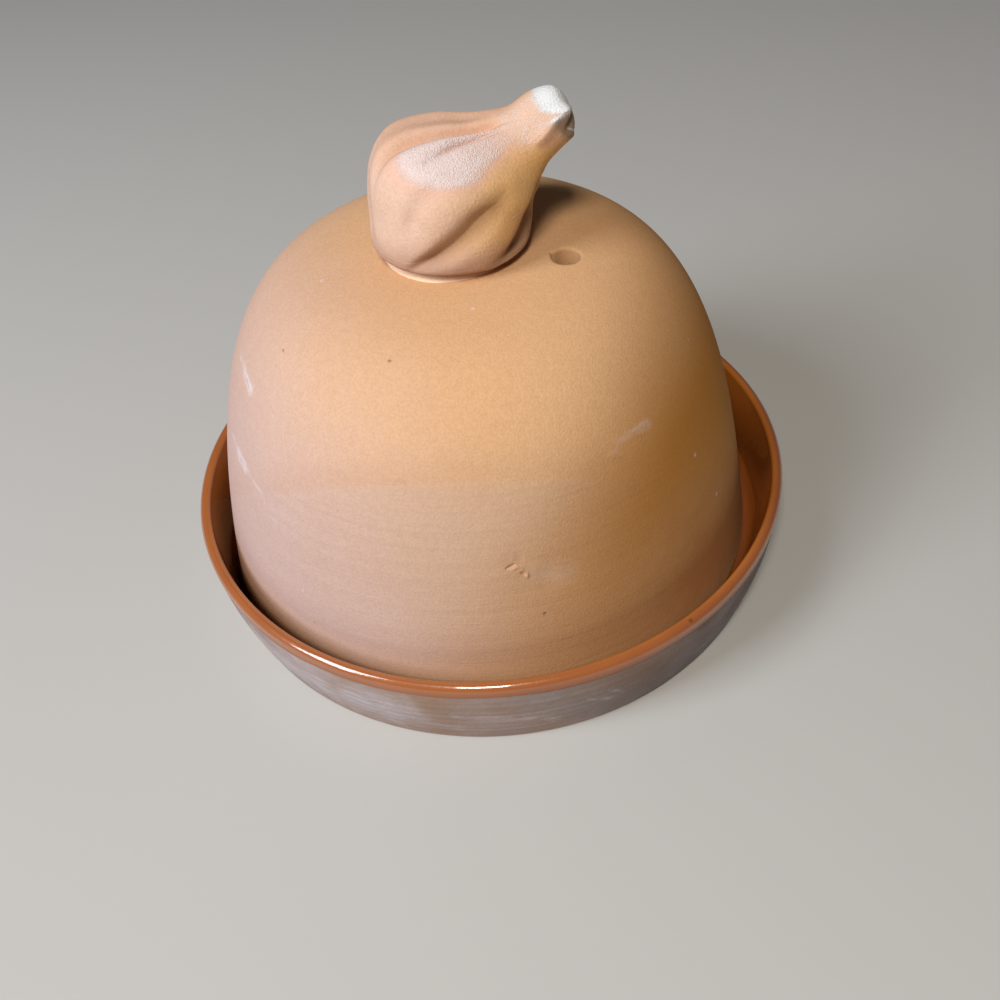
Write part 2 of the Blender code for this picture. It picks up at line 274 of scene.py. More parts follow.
def paint(tree, shader, look, base, layers):
    # the base colour with others laid over it in turn: mask, strength and name of each
    colour = (*look[base], 1.0)
    for mask, strength, name in layers:
        mask = mask if strength == 1 else times(tree, mask, strength)
        inputs = {0: mask, 6: colour, 7: (*look[name], 1.0)}
        colour = addNode(tree, "Mix", inputs, data_type="RGBA").outputs[2]
    feed(tree, shader["Base Color"], colour)


def addBump(tree, shader, heights):
    # heights: (value, depth in metres) pairs, added up into one bump
    total = times(tree, *heights[0])
    for value, depth in heights[1:]:
        total = plus(tree, total, value, depth)
    bump = addNode(tree, "Bump", {"Height": total, "Strength": 1.0, "Distance": 1.0})
    feed(tree, shader["Normal"], bump.outputs[0])


lidClay = {
    "rose": (0.58, 0.428, 0.415),  # low and to the left: partly pale fired colour, partly painted cool light from the left
    "orange": (0.720, 0.435, 0.235),  # the upper half: partly the clay's colour above the belt, partly painted warm light from above
    "buff": (0.61, 0.405, 0.275),  # the lower half
    "ochre": (0.45, 0.192, 0.034),  # to the right: partly fired colour, partly painted shade on the side away from the lamps
    # flush: the fired flush of the patches and the belt's band, and also the colour of the painted shade on
    # the lower right
    "flush": (0.44, 0.185, 0.055),
    "paintedGlazeBounce": (0.62, 0.385, 0.195),  # painted reflection: the glaze's amber light bounced onto the foot above the rim
    "scuff": (0.72, 0.70, 0.76),
    "dark": (0.26, 0.14, 0.07),
    "beltSlope": (0.078, 0.985, 1.0),  # the halves meet on a slant, lower at the sides than in front
    "belt": 12.1 * mm,
    "roseAndCoolLightWay": (0.90, 0.12, 0.25),  # the rose fades this way
    "ochreAndShadeWay": (0.90, 0.10, -0.80),  # and the ochre, with its painted shade, comes up this way
    "scuffs": (  # from, to, width in mm, strength, breakup, fade
        ((-54.9, -11.5, 74.0), (-51.5, -23.5, 72.2), 2.5, 0.66, 0.92, 0.4),
        ((-60.2, -19.5, 56.4), (-56.4, -28.6, 54.4), 2.8, 0.85, 0.85, 0.5),
        ((-52.6, -37.0, 53.0), (-56.6, -28.4, 54.5), 2.2, 0.75, 0.9, 0.6),
        ((18.0, -54.0, 68.6), (34.4, -45.4, 69.0), 2.3, 0.32, 0.6, 0.9),
        ((20.0, -53.6, 67.0), (27.0, -50.4, 67.8), 1.6, 0.16, 0.9, 0.6),
        ((-53.0, -37.5, 49.0), (-49.5, -42.2, 48.4), 1.1, 0.40, 0.95, 0.4),
        ((8.0, -65.0, 46.5), (15.0, -64.6, 45.0), 4.5, 0.10, 0.5, 0.0),
    ),
    "stainsAndNickShade": (
        ((-18.2, -37.8, 86.9), (-18.0, -37.9, 86.9), 0.6, 0.9, 0.0, 0.0),
        # the next two: painted shade in the dent's nick and in its pit
        ((1.5, -64.5, 49.1), (2.8, -64.5, 49.55), 0.55, 0.75, 0.1, 0.0),
        ((4.6, -64.5, 47.4), (4.9, -64.5, 46.9), 0.45, 0.55, 0.1, 0.0),
        ((-41.8, -24.7, 82.8), (-41.9, -24.4, 82.8), 0.5, 0.8, 0.0, 0.0),
        ((-30.0, -50.9, 67.5), (-18.0, -55.4, 68.6), 1.6, 0.16, 0.9, 0.4),
        ((29.0, -51.0, 65.0), (21.0, -54.6, 66.5), 1.8, 0.16, 0.9, 0.4),
    ),
    # painted shade on the lower right of the lid, near the rim
    "paintedShadeLowRight": (((48.3, -47.9, 25.7), (60.0, -30.0, 22.0), 24.0, 0.6, 0.0, 0.0),),
}


def makeLidClay(look):
    material, tree, shader, place = openMaterial("bareTerracotta", look["ochre"], 0.9, 0.15)
    drift = driftAt(tree, place, 16.0, 2.0, 3.0)
    height = axis(tree, place, "Z")
    uneven = driftAt(tree, vector(tree, "MULTIPLY", place, (22.0, 22.0, 200.0)), 1.0, 2.0, 11.0)
    level = plus(tree, vector(tree, "DOT_PRODUCT", place, look["beltSlope"]), uneven, 5 * mm)
    belt = look["belt"]
    # orange on the upper half: partly a real change of colour at the belt, partly painted warm light from
    # above
    upper = plus(tree, ramp(tree, level, belt - 14 * mm, belt + 16 * mm, 0.0, 0.6),
                 ramp(tree, level, belt - 2.5 * mm, belt + 1.5 * mm, 0.0, 0.4))
    band = times(tree, ramp(tree, level, belt - 1 * mm, belt + 1 * mm),
                 ramp(tree, level, belt + 1 * mm, belt + 12 * mm, 1.0, 0.0))
    lower = ramp(tree, level, belt - 2 * mm, belt + 2 * mm, 1.0, 0.1)  # where the rib's lines show
    # rose low on the left: partly the clay's own colour, partly painted cool light from the left
    left = plus(tree, vector(tree, "DOT_PRODUCT", place, look["roseAndCoolLightWay"]), drift, 40 * mm)
    # ochre on the right: partly fired colour, partly painted shade, with less of it low down and on top
    right = plus(tree, vector(tree, "DOT_PRODUCT", place, look["ochreAndShadeWay"]), drift, 30 * mm)
    right = times(tree, ramp(tree, right, -60 * mm, -8 * mm), ramp(tree, height, 24 * mm, 64 * mm, 0.65, 1.0),
                  ramp(tree, height, 62 * mm, 84 * mm, 1.0, 0.62))
    # painted reflection at the shaded foot, stronger on the left
    foot = times(tree, ramp(tree, plus(tree, height, drift, 8 * mm), 10 * mm, 27 * mm, 0.95, 0.0),
                 ramp(tree, axis(tree, place, "X"), -15 * mm, 15 * mm, 1.0, 0.3))
    grain = useGroup(tree, clayGrain, place, Scale=1900.0)
    lines = useGroup(tree, turningLines, place, Across=12.0, Along=760.0, Seed=5.0)
    pits = specks(tree, vector(tree, "ADD", place, (0.31, 0.17, 0.05)), 110.0, 0.07, 0.10)
    paint(tree, shader, look, "buff", (
        (upper, 1, "orange"),
        (ramp(tree, left, -48 * mm, 16 * mm, 0.88, 0.0), 1, "rose"),
        (right, 1, "ochre"),
        (foot, 1, "paintedGlazeBounce"),
        (scuffs(tree, place, look["paintedShadeLowRight"]), 1, "flush"),
        (band, 0.10, "flush"),
        (patches(tree, place, 34.0, 0.2, 1.0), 0.09, "flush"),
        (grain["Speckle"], 0.17, "dark"),
        (times(tree, lines["Line"], lower), 0.045, "dark"),
        (specks(tree, place, 150.0, 0.10, 0.08), 0.4, "scuff"),
        (pits, 0.6, "dark"),
        # dark stains, with painted shade in the dent's nick and pit
        (scuffs(tree, place, look["stainsAndNickShade"]), 1, "dark"),
        (scuffs(tree, place, look["scuffs"]), 1, "scuff")))
    feed(tree, shader["Roughness"], ramp(tree, grain["Speckle"], 0.0, 1.0, 0.80, 0.95))
    addBump(tree, shader, ((grain["Height"], 0.14 * mm), (times(tree, lines["Height"], lower), 0.08 * mm),
                           (pits, -0.15 * mm)))
    return material


saucerClay = {
    "mauve": (0.280, 0.220, 0.203),
    "warm": (0.325, 0.208, 0.150),
    "smear": (0.54, 0.51, 0.56),
    "paintedShade": (0.105, 0.070, 0.054),  # painted shade: darker and browner to the right, away from the lamps
    "dark": (0.13, 0.08, 0.06),
    "smears": (
        ((-14.0, -77.0, 13.8), (3.0, -78.0, 10.5), 2.6, 0.55, 0.9, 0.3),
        ((2.0, -77.6, 12.5), (9.0, -76.4, 8.0), 2.4, 0.45, 0.9, 0.3),
        ((-30.0, -72.0, 9.0), (-14.0, -76.0, 7.0), 3.2, 0.35, 0.8, 0.2),
        ((17.0, -76.0, 14.5), (25.0, -74.0, 9.0), 1.6, 0.45, 0.95, 0.2),
        ((22.0, -75.0, 15.5), (26.0, -73.8, 11.0), 1.2, 0.40, 0.95, 0.2),
        ((-60.0, -47.0, 13.0), (-30.0, -71.0, 12.0), 14.0, 0.75, 0.35, 0.0),
        ((38.0, -66.0, 8.0), (52.0, -56.0, 9.0), 2.0, 0.25, 0.9, 0.3),
    ),
}


def makeSaucerClay(look):
    material, tree, shader, place = openMaterial("bareSaucerClay", look["mauve"], 0.8, 0.35)
    flat = vector(tree, "MULTIPLY", place, (1.0, 1.0, 1.6))  # patches lie level, as a sponge leaves them
    wash = patches(tree, flat, 48.0, 0.16, 9.0)
    grain = useGroup(tree, clayGrain, place, Scale=1000.0, Seed=4.0)
    lines = useGroup(tree, turningLines, place, Across=16.0, Along=900.0, Seed=6.0)
    paint(tree, shader, look, "mauve", (
        (patches(tree, flat, 20.0, 0.12, 7.0), 1, "warm"),
        # painted shade towards the right
        (ramp(tree, axis(tree, place, "X"), 8 * mm, 50 * mm, 0.0, 0.8), 1, "paintedShade"),
        (wash, 0.28, "smear"),
        (grain["Speckle"], 0.12, "dark"),
        (lines["Line"], 0.05, "dark"),
        (scuffs(tree, place, look["smears"]), 1, "smear")))
    feed(tree, shader["Roughness"], ramp(tree, wash, 0.0, 1.0, 0.72, 0.88))
    addBump(tree, shader, ((grain["Height"], 0.16 * mm), (lines["Height"], 0.10 * mm)))
    return material


amberGlaze = {
    "thin": (0.375, 0.120, 0.036),  # where it breaks over the rim
    "bright": (0.500, 0.160, 0.024),  # at the top of the inner wall: partly thinner glaze, partly painted light on the wall's lit upper part
    "full": (0.300, 0.085, 0.012),
    "pooled": (0.150, 0.034, 0.010),  # in the cove
    "spot": (0.08, 0.022, 0.010),
    "edge": (0.20, 0.060, 0.025),  # along its lower edge outside
    "roughness": 0.26,
    "coatIor": 1.64,
    "coatRoughness": 0.05,
    "wall": (12.0 * mm, 25.5 * mm),  # heights, as in the next three lines
    "cove": (5 * mm, 10 * mm),
    "lapEdge": (22.3 * mm, 23.1 * mm),
    "lapDull": (23.2 * mm, 24.8 * mm),  # the glaze is thin and dull down the outside
    "crest": (76.6 * mm, 77.8 * mm),  # radii of the rim's top
}


def makeAmberGlaze(look):
    material, tree, shader, place = openMaterial("amberGlaze", look["full"], look["roughness"], 0.35)
    shader["Coat IOR"].default_value = look["coatIor"]
    shader["Coat Roughness"].default_value = look["coatRoughness"]
    height = axis(tree, place, "Z")
    reach = vector(tree, "LENGTH", vector(tree, "MULTIPLY", place, (1.0, 1.0, 0.0)))
    level = plus(tree, height, driftAt(tree, place, 55.0, 3.0, 2.0), 6 * mm)
    outside = ramp(tree, reach, *look["crest"])
    dull = times(tree, ramp(tree, height, *look["lapDull"], 0.85, 0.0), outside)
    feed(tree, shader["Coat Weight"], calc(tree, "SUBTRACT", 1.0, dull))
    spots = specks(tree, place, 260.0, 0.2, 0.10)
    paint(tree, shader, look, "full", (
        # brighter up the inner wall: partly thinner glaze, partly painted light above the shaded lower wall
        (ramp(tree, level, *look["wall"]), 1, "bright"),
        (outside, 1, "thin"),
        (times(tree, ramp(tree, height, *look["lapEdge"], 0.8, 0.0), outside), 1, "edge"),
        (ramp(tree, level, *look["cove"], 1.0, 0.0), 0.35, "pooled"),
        (patches(tree, place, 60.0, 0.2, 3.0), 0.16, "pooled"),
        (spots, 0.5, "spot")))
    orangePeel = noiseAt(tree, place, 300.0, 2.0, 8.0)
    ripple = noiseAt(tree, place, 900.0, 1.0, 6.0)
    addBump(tree, shader, ((orangePeel, 0.05 * mm), (ripple, 0.04 * mm), (spots, -0.03 * mm)))
    return material


knobClay = {
    "rose": (0.74, 0.515, 0.405),
    "ochre": (0.82, 0.465, 0.165),
    "flush": (0.72, 0.42, 0.285),  # the redder top of the bulb
    # painted shade at the bottoms of the grooves between the cloves
    "paintedCreaseShade": (0.30, 0.140, 0.045),
    "wipedAndShaded": (0.41, 0.255, 0.19),  # round the foot: wiped clay, and painted shade under the bulb's overhang
    "halo": (0.76, 0.44, 0.34),
    "chalk": (0.79, 0.715, 0.73),
    "white": (0.76, 0.80, 0.84),
    # painted shade on the tip's lower leaf, under the ridge
    "paintedRidgeShade": (0.22, 0.160, 0.110),
    "dark": (0.28, 0.15, 0.08),
    "nicks": (
        ((10.3, -14.8, 103.3), (12.0, -13.2, 103.6), 0.42, 1.0, 0.3, 0.2),
        ((12.2, -13.2, 103.3), (12.9, -12.7, 104.4), 0.42, 1.0, 0.2, 0.2),
    ),
}


def makeKnobClay(look):
    material, tree, shader, place = openMaterial("knobClay", look["ochre"], 0.9)
    height = axis(tree, place, "Z")
    drift = driftAt(tree, place, 70.0, 2.0, 2.0)
    side = vector(tree, "SUBTRACT", place, (0.0, 0.0, 108 * mm))
    side = plus(tree, vector(tree, "DOT_PRODUCT", side, (0.9, 0.1, -0.3)), drift, 14 * mm)
    # darker round the foot: partly wiped clay, partly painted shade under the bulb's overhang
    wipedAndShaded = ramp(tree, plus(tree, height, drift, 5 * mm), 93.5 * mm, 102 * mm, 0.88, 0.0)
    grain = useGroup(tree, clayGrain, place, Scale=1700.0, Seed=1.0)
    lines = useGroup(tree, turningLines, place, Across=60.0, Along=1500.0, Seed=3.0)
    sponged = times(tree, lines["Height"], wipedAndShaded)
    powder = noiseAt(tree, place, 3000.0, 2.0, 4.0, 0.6)
    dust = plus(tree, times(tree, powder, 0.75), noiseAt(tree, place, 700.0, 2.0, 6.0), 0.25)

    def stored(name):
        return addNode(tree, "Attribute", attribute_name=name).outputs["Fac"]

    def dusted(name, low, high):
        # how much powder lies at a place: more of it where the attribute is stronger
        lift = times(tree, calc(tree, "SUBTRACT", stored(name), 0.5), 0.42)
        return times(tree, ramp(tree, plus(tree, dust, lift), low, high), ramp(tree, stored(name), 0.0, 0.35))

    chalk = dusted("chalk", 0.36, 0.80)
    white = dusted("dipped", 0.34, 0.68)
    paint(tree, shader, look, "rose", (
        (ramp(tree, side, -13 * mm, 15 * mm), 1, "ochre"),
        (ramp(tree, plus(tree, height, drift, 8 * mm), 112 * mm, 118 * mm, 0.0, 0.7), 1, "flush"),
        (wipedAndShaded, 1, "wipedAndShaded"),
        (patches(tree, place, 110.0, 0.2, 2.0), 0.22, "flush"),
        # painted shade in the grooves
        (stored("paintedCreaseShade"), 0.85, "paintedCreaseShade"),
        (stored("halo"), 0.55, "halo"),
        # painted shade under the tip's ridge
        (stored("ridgeShadeMask"), 0.75, "paintedRidgeShade"),
        (grain["Speckle"], 0.16, "dark"),
        (sponged, 0.25, "rose"),
        (stored("chalk"), 0.25, "chalk"),
        (chalk, 0.70, "chalk"),
        (stored("dipped"), 0.35, "white"),
        (white, 0.95, "white"),
        (scuffs(tree, place, look["nicks"]), 1, "chalk")))
    cover = calc(tree, "MAXIMUM", chalk, white)
    feed(tree, shader["Roughness"], ramp(tree, cover, 0.0, 1.0, 0.84, 1.0))
    addBump(tree, shader, ((grain["Height"], 0.20 * mm), (times(tree, cover, powder), 0.22 * mm),
                           (sponged, 0.25 * mm)))
    return material


slipClay = {
    "pale": (0.94, 0.70, 0.50),
    "dark": (0.50, 0.28, 0.16),
}


def makeSlipClay(look):
    material, tree, shader, place = openMaterial("wipedSlip", look["pale"], 0.85)
    grain = useGroup(tree, clayGrain, place, Scale=1200.0, Seed=2.0)
    paint(tree, shader, look, "pale", (
        (patches(tree, place, 160.0, 0.2, 5.0), 0.12, "dark"),
        (grain["Speckle"], 0.10, "dark")))
    addBump(tree, shader, ((grain["Height"], 0.2 * mm),))
    return material


lidMaterial = makeLidClay(lidClay)
saucerMaterial = makeSaucerClay(saucerClay)
glazeMaterial = makeAmberGlaze(amberGlaze)
knobMaterial = makeKnobClay(knobClay)
slipMaterial = makeSlipClay(slipClay)
print("materials made")


# thrown forms: a profile is swept round the wheel's axis by Geometry Nodes

def makeThrowing():
    tree, given, result = openGroup(
        "thrownOnWheel", {"Profile": "Geometry", "Steps": 300, "Mark Height": 0.0, "Mark Pitch": 0.003,
                          "Wobble": 0.0, "Wobble Scale": 20.0, "Seed": 0.0, "Clay": "Material"},
        ("Pot",), "Geometry")

    def read(kind, inputs=None, **settings):
        return addNode(tree, "GeometryNode" + kind, inputs, **settings).outputs[0]

    def stored(name):
        return read("InputNamedAttribute", {"Name": name}, data_type="FLOAT")

    rows = addNode(tree, "GeometryNodeAttributeDomainSize", {"Geometry": given["Profile"]},
                   component="MESH").outputs["Point Count"]
    index = read("InputIndex")
    row = calc(tree, "MODULO", index, rows)
    turn = calc(tree, "DIVIDE", calc(tree, "FLOOR", calc(tree, "DIVIDE", index, rows)), given["Steps"])
    turn = times(tree, turn, -math.tau)

    def fromProfile(kind, value):
        inputs = {"Geometry": given["Profile"], "Value": value, "Index": row}
        return read("SampleIndex", inputs, data_type=kind)

    point = fromProfile("FLOAT_VECTOR", read("InputPosition"))
    swept = addNode(tree, "VectorRotate", {"Vector": point, "Angle": turn}, rotation_type="Z_AXIS")
    pot = read("MeshGrid", {"Vertices X": plus(tree, given["Steps"], 1), "Vertices Y": rows})
    pot = read("SetPosition", {"Geometry": pot, "Position": swept.outputs[0]})
    values = {name: fromProfile("FLOAT", stored(name)) for name in ("along", "marked")}
    for name, value in (*values.items(), ("turn", turn)):
        pot = read("StoreNamedAttribute", {"Geometry": pot, "Name": name, "Value": value},
                   data_type="FLOAT", domain="POINT")
    pot = read("MergeByDistance", {"Geometry": pot, "Distance": 0.002 * mm})
    # the throwing marks run up the pot as a spiral, and the clay bends a little off the round
    phase = plus(tree, times(tree, calc(tree, "DIVIDE", stored("along"), given["Mark Pitch"]), math.tau),
                 stored("turn"))
    spiral = times(tree, calc(tree, "SINE", phase), times(tree, stored("marked"), given["Mark Height"]))
    bend = driftAt(tree, read("InputPosition"), given["Wobble Scale"], 1.0, given["Seed"])
    push = plus(tree, spiral, bend, given["Wobble"])
    pot = read("SetPosition", {"Geometry": pot, "Offset": scaled(tree, read("InputNormal"), push)})
    pot = read("SetShadeSmooth", {"Geometry": pot})
    pot = read("RealizeInstances", {"Geometry": pot})
    pot = read("SetMaterial", {"Geometry": pot, "Material": given["Clay"]})
    feed(tree, result["Pot"], pot)
    return tree


thrownOnWheel = makeThrowing()


def lengthAlong(line):
    # distance to each point down a line of points
    return np.concatenate(((0.0,), np.cumsum(np.linalg.norm(np.diff(line, axis=0), axis=1))))


def throwPot(name, profile, marks, material, sizes, centre=(0.0, 0.0)):
    # profile: (radius, height) points from the top axis down the outer side; marks: strength at each point
    points = np.array([(r, 0.0, z) for r, z in profile])
    mesh = bpy.data.meshes.new(name)
    mesh.from_pydata(points.tolist(), [(i, i + 1) for i in range(len(points) - 1)], [])
    for label, values in (("along", lengthAlong(points)), ("marked", marks)):
        storeAt(mesh, label, values)
    pot = addObject(name, mesh)
    wheel = pot.modifiers.new("throwing", "NODES")
    wheel.node_group = thrownOnWheel
    sockets = {item.name: item.identifier for item in thrownOnWheel.interface.items_tree}
    wheel[sockets["Clay"]] = material
    for label, value in sizes.items():
        wheel[sockets[label]] = value
    plain = bpy.data.meshes.new_from_object(pot.evaluated_get(bpy.context.evaluated_depsgraph_get()))
    pot.modifiers.remove(wheel)
    pot.data = plain
    plain.name = name
    plain.materials.clear()
    plain.materials.append(material)
    plain.polygons.foreach_set("material_index", np.zeros(len(plain.polygons), dtype=np.int32))
    plain.transform(Matrix.Translation((*centre, 0.0)))
    return pot


def evenly(points, count):
    # the same line with its points spaced evenly
    along = lengthAlong(points)
    where = np.linspace(0.0, along[-1], count)
    return np.stack([np.interp(where, along, values) for values in zip(*points)], axis=1).tolist()


def arc(centre, radius, start, end, steps):
    turns = np.radians(np.linspace(start, end, steps + 1))
    return np.stack((centre[0] + radius * np.cos(turns), centre[1] + radius * np.sin(turns)), axis=1).tolist()


def ease(low, high, value):
    share = np.clip((value - low) / (high - low), 0.0, 1.0)
    return share * share * (3 - 2 * share)


def points(mesh):
    flat = np.empty(len(mesh.vertices) * 3)
    mesh.vertices.foreach_get("co", flat)
    return flat.reshape(-1, 3)


def setPoints(mesh, places):
    mesh.vertices.foreach_set("co", places.ravel())
    mesh.update()


def storeAt(mesh, name, values):
    values = np.asarray(values, dtype=np.float32)
    mesh.attributes.new(name, "FLOAT", "POINT").data.foreach_set("value", values)


def polar(reach, turn):
    return reach * math.cos(turn), reach * math.sin(turn)


def beside(place, by):
    return place[0] + by[0], place[1] + by[1]


def finishForm(form, mesh):
    bmesh.ops.recalc_face_normals(form, faces=form.faces)
    for face in form.faces:
        face.smooth = True
    form.to_mesh(mesh)
    form.free()


def gridFaces(rows, steps, joined=False):
    # four-sided faces between rows of points that run round; joined: the last row meets the first
    levels = [(i * steps, (i + 1) % rows * steps) for i in range(rows if joined else rows - 1)]
    turns = [(k, (k + 1) % steps) for k in range(steps)]
    return [(low + k, low + n, high + n, high + k) for low, high in levels for k, n in turns]


def closedPiece(name, places, faces, material, values):
    mesh = bpy.data.meshes.new(name)
    mesh.from_pydata(places, [], faces)
    for label, strengths in values.items():
        storeAt(mesh, label, strengths)
    form = bmesh.new()
    form.from_mesh(mesh)
    finishForm(form, mesh)
    mesh.materials.append(material)
    return addObject(name, mesh)


saucerSize = {
    "rimRadius": 79.0 * mm,
    "height": 26.0 * mm,
    "flare": 4.1 * mm,
    "belly": 0.8 * mm,
    "rimHalfWidth": 1.4 * mm,
    "innerPower": 2.2,
    "outerPower": 1.6,
    "innerFlare": 2.0 * mm,
    "floor": 5.6 * mm,
    "cove": 2.6 * mm,
    "footEdge": 1.4 * mm,
    "footRing": 13.0 * mm,
    "footRecess": 1.2 * mm,
    "throwing": {"Steps": 320, "Mark Height": 0.05 * mm, "Mark Pitch": 2.6 * mm, "Wobble": 0.12 * mm,
                 "Wobble Scale": 28.0, "Seed": 1.0},
}
rimCentre = beside((saucerSize["rimRadius"], saucerSize["height"]), (-saucerSize["rimHalfWidth"],) * 2)
wallLine = saucerSize["rimRadius"] - 2 * saucerSize["rimHalfWidth"] - saucerSize["innerFlare"]

glazeSize = {
    "thickness": 0.5 * mm,
    "lap": 2.4 * mm,  # below the rim's widest point
    "wave": 0.45 * mm,
    "lip": 0.30 * mm,  # thickness at its lower edge
    "sunk": 0.2 * mm,  # that edge lies this far within the line of the wall
    "bed": 0.02 * mm,  # between the glaze and the clay under it
    "ledge": 0.7 * mm,  # the clay comes out to the wall this far above the edge
    "throwing": {"Steps": 320, "Mark Height": 0.10 * mm, "Mark Pitch": 5.2 * mm},
}
lapEdge = rimCentre[1] - glazeSize["lap"]


def outerRadius(height):
    share = height / rimCentre[1]
    return (saucerSize["rimRadius"] - saucerSize["flare"] * (1 - share)
            + saucerSize["belly"] * math.sin(math.pi * share))


def innerLine(inset):
    # floor, cove, inner wall and rim, moved into the clay by inset
    floor, cove = saucerSize["floor"], saucerSize["cove"]
    line = evenly([(0.0, floor - inset), (wallLine - cove, floor - inset)], 46)
    line += arc((wallLine - cove, floor + cove), cove + inset, -90, 0, 10)[1:]
    rim = []
    half = saucerSize["rimHalfWidth"] - inset
    for turn in np.radians(np.linspace(180, 0, 33)):
        # pressed flatter towards the outer edge, where the potter's finger ran
        power = saucerSize["innerPower"] if turn > math.pi / 2 else saucerSize["outerPower"]
        across, up = polar(1.0, turn)
        rim.append(beside(rimCentre, (math.copysign(half * abs(across) ** (2 / power), across),
                                      half * abs(up) ** (2 / power))))
    line += evenly([line[-1], rim[0]], 14)[1:-1]
    return line + rim


def glazeWave(angle):
    # height of the glaze's lower edge about its mean
    wave = np.sin(3 * angle + 0.4) + 0.6 * np.sin(7 * angle + 1.9) + 0.4 * np.sin(11 * angle)
    drips = 0.25 * np.sin(23 * angle + 1.0) + 0.18 * np.sin(41 * angle + 2.0)
    return glazeSize["wave"] * (wave + drips) / 2.0


def makeSaucer():
    under = glazeSize["thickness"] + glazeSize["bed"]
    edge, recess = saucerSize["footEdge"], saucerSize["footRecess"]
    line = innerLine(under)
    covered = len(line)
    step = lapEdge + glazeSize["ledge"]
    below = outerRadius(step) - glazeSize["sunk"] - glazeSize["bed"]
    line += [(outerRadius(step) - under, step), (below, step - 0.25 * mm)]
    for height in np.linspace(step - 0.6 * mm, edge, 40):
        line.append((outerRadius(height) - glazeSize["sunk"] * ease(step - 5 * mm, step, height), height))
    foot = outerRadius(edge) - edge
    line += arc((foot, edge), edge, -8, -90, 8)
    inner = foot - saucerSize["footRing"]
    line += evenly([line[-1], (inner, 0.0)], 8)[1:]
    line += [(inner - 0.3 * mm, 0.15 * mm), (inner - recess, recess)]
    line += evenly([line[-1], (0.0, recess)], 24)[1:]
    heights = np.array(line)[:, 1]
    marks = ease(1 * mm, 4 * mm, heights) * (1 - ease(step - 4 * mm, step - 1 * mm, heights))
    marks[:covered] = 0.0
    return throwPot("saucerBody", line, marks, saucerMaterial, saucerSize["throwing"])


def makeGlaze():
    thick, lip = glazeSize["thickness"], glazeSize["lip"]
    radius = outerRadius(lapEdge) - glazeSize["sunk"]
    outside = innerLine(0.0)
    reach, height = np.array(outside).T
    marks = ease(8 * mm, 20 * mm, reach) * (height < 7 * mm)  # on the floor alone
    outside += evenly([outside[-1], (radius + lip, lapEdge + lip)], 10)[1:]
    outside += arc((radius, lapEdge + lip), lip, 0, -90, 8)[1:]
    inside = innerLine(thick) + evenly([(rimCentre[0] + saucerSize["rimHalfWidth"] - thick, rimCentre[1]),
                                        (radius, lapEdge)], 8)[1:-1]
    marks = np.pad(marks, (0, len(outside) + len(inside) - len(marks)))
    coat = throwPot("glazeCoat", outside + inside[::-1], marks, glazeMaterial, glazeSize["throwing"])
    places = points(coat.data)
    reach = np.hypot(places[:, 0], places[:, 1])
    low = (reach > rimCentre[0]) * (1 - ease(lapEdge + 0.4 * mm, rimCentre[1], places[:, 2]))
    places[:, 2] += low * glazeWave(np.arctan2(places[:, 1], places[:, 0]))
    setPoints(coat.data, places)
    return coat


saucer = makeSaucer()
glaze = makeGlaze()
print("saucer thrown and glazed")

lidSize = {
    "play": 1.5 * mm,
    "restAngle": 200.0,  # the lid stands pushed over this way
    "height": 84.5 * mm,
    "taper": 1.6 * mm,
    "flare": 1.2 * mm,  # how much wider the foot is
    "wall": 5.5 * mm,
    "footRound": 1.7 * mm,
    "crownPower": 5.4,
    "wallPower": 1.46,
    "crownStart": 89.2,
    "base": 5.9 * mm,
    "throwing": {"Steps": 300, "Mark Height": 0.02 * mm, "Mark Pitch": 4.1 * mm},
}
lidRadius = wallLine - saucerSize["cove"] - lidSize["play"] + lidSize["footRound"]
lidTop = lidSize["base"] + lidSize["height"]
lidAxis = polar(lidSize["play"], math.radians(lidSize["restAngle"]))

ventSize = {
    "radius": 3.24 * mm,
    "reach": 28.0 * mm,  # from the knob's foot
    "angle": -20.6,
    "lip": ((0.9, 0.0), (0.3, 0.0), (0.15, 0.02), (0.04, 0.14), (0.0, 0.28)),  # mm out from the hole and down
    "cutOut": 5.4 * mm,  # the crown's faces are renewed within this radius
    "steps": 96,
    "wallRows": 8,
    "nick": 0.7 * mm,
    "nickTurn": 152.0,
}

knobSize = {
    "offset": (-2.8 * mm, 0.1 * mm),
    "footRadius": 15.3 * mm,
    "bulbRadius": 18.9 * mm,
    "neckRadius": 6.8 * mm,
    "tipRadius": 5.2 * mm,
    "base": 91.8 * mm,
    "steps": 288,
    "rowsPerStation": 18,
    "middle": (0.2, 0.0, 0.7),  # of the bulb, in bulb radii
    "lumps": ((210, 0.12), (90, 0.22)),  # how fine, and mm high
    "tipNotch": 1.8 * mm,
    "notchHeight": -0.35,  # in tip radii, as its width
    "notchWidth": 0.3,
    "tipRound": 1.3 * mm,
    "pinch": 0.13,  # the cut end is drawn in by this share
    "pinchRows": 9,
    # the cut end, from its edge to near its middle: share of the way in, and mm out
    "tipCap": ((0.03, 0.14), (0.08, 0.30), (0.15, 0.45), (0.3, 0.75), (0.5, 1.0), (0.75, 1.15), (0.93, 1.2)),
    "rootAngle": 320.0,
    "rootSpread": 0.9,
    "rootFade": 27.0,
    "rootBlur": 0.5,
}
knobAxis = beside(lidAxis, knobSize["offset"])
knobTurns = np.arange(knobSize["steps"]) * math.tau / knobSize["steps"]
ventCentre = beside(knobAxis, polar(ventSize["reach"], math.radians(ventSize["angle"])))


def leanIn(rise):
    # how much nearer the axis the wall is than the foot, at a share of the height
    return lidSize["taper"] * rise + lidSize["flare"] * (1 - (1 - rise) ** 4)


